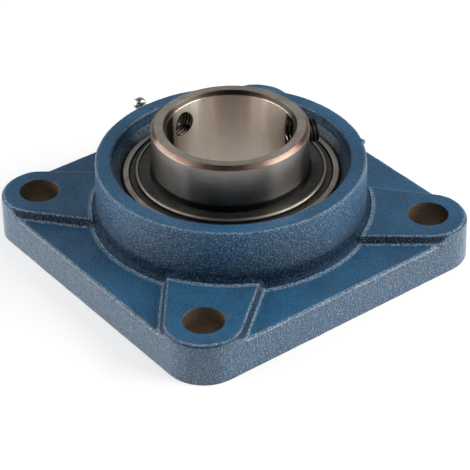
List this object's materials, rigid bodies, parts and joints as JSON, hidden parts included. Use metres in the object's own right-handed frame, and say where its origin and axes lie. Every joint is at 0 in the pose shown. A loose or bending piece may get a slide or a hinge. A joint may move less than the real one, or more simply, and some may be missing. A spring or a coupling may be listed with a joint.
{
  "type": "four-bolt flange bearing unit",
  "caption": "Square flanged cast housing with a self-aligning ball bearing insert for a through shaft, gripped by set screws and greased through a nipple.",
  "frame": {"origin": "centre of the mounting face, on the shaft axis", "axes": "+Z along the shaft axis from the mounting face towards the nose; X and Y parallel to the flat sides of the flange; the grease nipple is on the -X side"},
  "size_m": [0.143, 0.143, 0.0546],
  "materials": {
    "housing_paint": "mid-blue semi-gloss paint over a rough sand casting, bare brown-grey iron in the bolt holes",
    "outer_ring_steel": "ground bearing steel, satin",
    "inner_ring_steel": "ground bearing steel, satin, with honed bore",
    "ball_steel": "polished bearing steel",
    "cage_steel": "pressed sheet steel",
    "rivet_steel": "headed steel wire",
    "shield_front": "dark coated sheet steel",
    "shield_back": "dark coated sheet steel",
    "lip_rubber": "black nitrile rubber",
    "slinger_front": "dark coated sheet steel with a bright bead",
    "slinger_back": "dark coated sheet steel with a bright bead",
    "set_screw_a": "black oxide",
    "set_screw_b": "black oxide",
    "nipple_plating": "bright zinc plating",
    "check_ball": "polished steel",
    "spring_wire": "spring steel wire"
  },
  "bodies": {
    "housing": {"flange_housing": "housing_paint", "nipple_body": "nipple_plating", "nipple_spring": "spring_wire"},
    "insert": {"outer_ring": "outer_ring_steel", "seal_shield_front": "shield_front", "seal_shield_back": "shield_back", "seal_lip_front": "lip_rubber", "seal_lip_back": "lip_rubber"},
    "shaft_ring": {"inner_ring": "inner_ring_steel", "slinger_front": "slinger_front", "slinger_back": "slinger_back"},
    "cage": {"cage_front": "cage_steel", "cage_back": "cage_steel", "cage_rivets": "rivet_steel"},
    "ball_01": {"ball_01": "ball_steel"},
    "ball_02": {"ball_02": "ball_steel"},
    "ball_03": {"ball_03": "ball_steel"},
    "ball_04": {"ball_04": "ball_steel"},
    "ball_05": {"ball_05": "ball_steel"},
    "ball_06": {"ball_06": "ball_steel"},
    "ball_07": {"ball_07": "ball_steel"},
    "ball_08": {"ball_08": "ball_steel"},
    "ball_09": {"ball_09": "ball_steel"},
    "ball_10": {"ball_10": "ball_steel"},
    "screw_a": {"set_screw_a": "set_screw_a"},
    "screw_b": {"set_screw_b": "set_screw_b"},
    "check_ball": {"nipple_ball": "check_ball"}
  },
  "joints": [
    {"name": "insert_swivel", "type": "hinge", "parent": "housing", "child": "insert", "pos_m": [0, 0, 0.022], "axis": [1, 0, 0], "range_deg": [-2, 2]},
    {"name": "shaft_spin", "type": "hinge", "parent": "insert", "child": "shaft_ring", "pos_m": [0, 0, 0.022], "axis": [0, 0, 1], "continuous": true},
    {"name": "cage_spin", "type": "hinge", "parent": "insert", "child": "cage", "pos_m": [0, 0, 0.022], "axis": [0, 0, 1], "continuous": true},
    {"name": "ball_01_roll", "type": "hinge", "parent": "cage", "child": "ball_01", "pos_m": [0.035, 0, 0.022], "axis": [0, 0, 1], "continuous": true},
    {"name": "ball_02_roll", "type": "hinge", "parent": "cage", "child": "ball_02", "pos_m": [0.02832, 0.02057, 0.022], "axis": [0, 0, 1], "continuous": true},
    {"name": "ball_03_roll", "type": "hinge", "parent": "cage", "child": "ball_03", "pos_m": [0.01082, 0.03329, 0.022], "axis": [0, 0, 1], "continuous": true},
    {"name": "ball_04_roll", "type": "hinge", "parent": "cage", "child": "ball_04", "pos_m": [-0.01082, 0.03329, 0.022], "axis": [0, 0, 1], "continuous": true},
    {"name": "ball_05_roll", "type": "hinge", "parent": "cage", "child": "ball_05", "pos_m": [-0.02832, 0.02057, 0.022], "axis": [0, 0, 1], "continuous": true},
    {"name": "ball_06_roll", "type": "hinge", "parent": "cage", "child": "ball_06", "pos_m": [-0.035, 0, 0.022], "axis": [0, 0, 1], "continuous": true},
    {"name": "ball_07_roll", "type": "hinge", "parent": "cage", "child": "ball_07", "pos_m": [-0.02832, -0.02057, 0.022], "axis": [0, 0, 1], "continuous": true},
    {"name": "ball_08_roll", "type": "hinge", "parent": "cage", "child": "ball_08", "pos_m": [-0.01082, -0.03329, 0.022], "axis": [0, 0, 1], "continuous": true},
    {"name": "ball_09_roll", "type": "hinge", "parent": "cage", "child": "ball_09", "pos_m": [0.01082, -0.03329, 0.022], "axis": [0, 0, 1], "continuous": true},
    {"name": "ball_10_roll", "type": "hinge", "parent": "cage", "child": "ball_10", "pos_m": [0.02832, -0.02057, 0.022], "axis": [0, 0, 1], "continuous": true},
    {"name": "screw_a_travel", "type": "slide", "parent": "shaft_ring", "child": "screw_a", "axis": [-0.3256, -0.9455, 0], "range_m": [-0.003, 0.0024]},
    {"name": "screw_b_travel", "type": "slide", "parent": "shaft_ring", "child": "screw_b", "axis": [0.9816, 0.1908, 0], "range_m": [-0.003, 0.0024]},
    {"name": "nipple_check", "type": "slide", "parent": "housing", "child": "check_ball", "axis": [0.7071, 0, -0.7071], "range_m": [0, 0.0006], "stiffness_N_per_m": 400, "springref_m": -0.0005, "deforming": ["nipple_spring"]}
  ],
  "couplings": [
    {"joint": "cage_spin", "follows": "shaft_spin", "ratio": 0.40929},
    {"joint": "ball_01_roll", "follows": "shaft_spin", "ratio": -2.6652},
    {"joint": "ball_02_roll", "follows": "shaft_spin", "ratio": -2.6652},
    {"joint": "ball_03_roll", "follows": "shaft_spin", "ratio": -2.6652},
    {"joint": "ball_04_roll", "follows": "shaft_spin", "ratio": -2.6652},
    {"joint": "ball_05_roll", "follows": "shaft_spin", "ratio": -2.6652},
    {"joint": "ball_06_roll", "follows": "shaft_spin", "ratio": -2.6652},
    {"joint": "ball_07_roll", "follows": "shaft_spin", "ratio": -2.6652},
    {"joint": "ball_08_roll", "follows": "shaft_spin", "ratio": -2.6652},
    {"joint": "ball_09_roll", "follows": "shaft_spin", "ratio": -2.6652},
    {"joint": "ball_10_roll", "follows": "shaft_spin", "ratio": -2.6652}
  ]
}
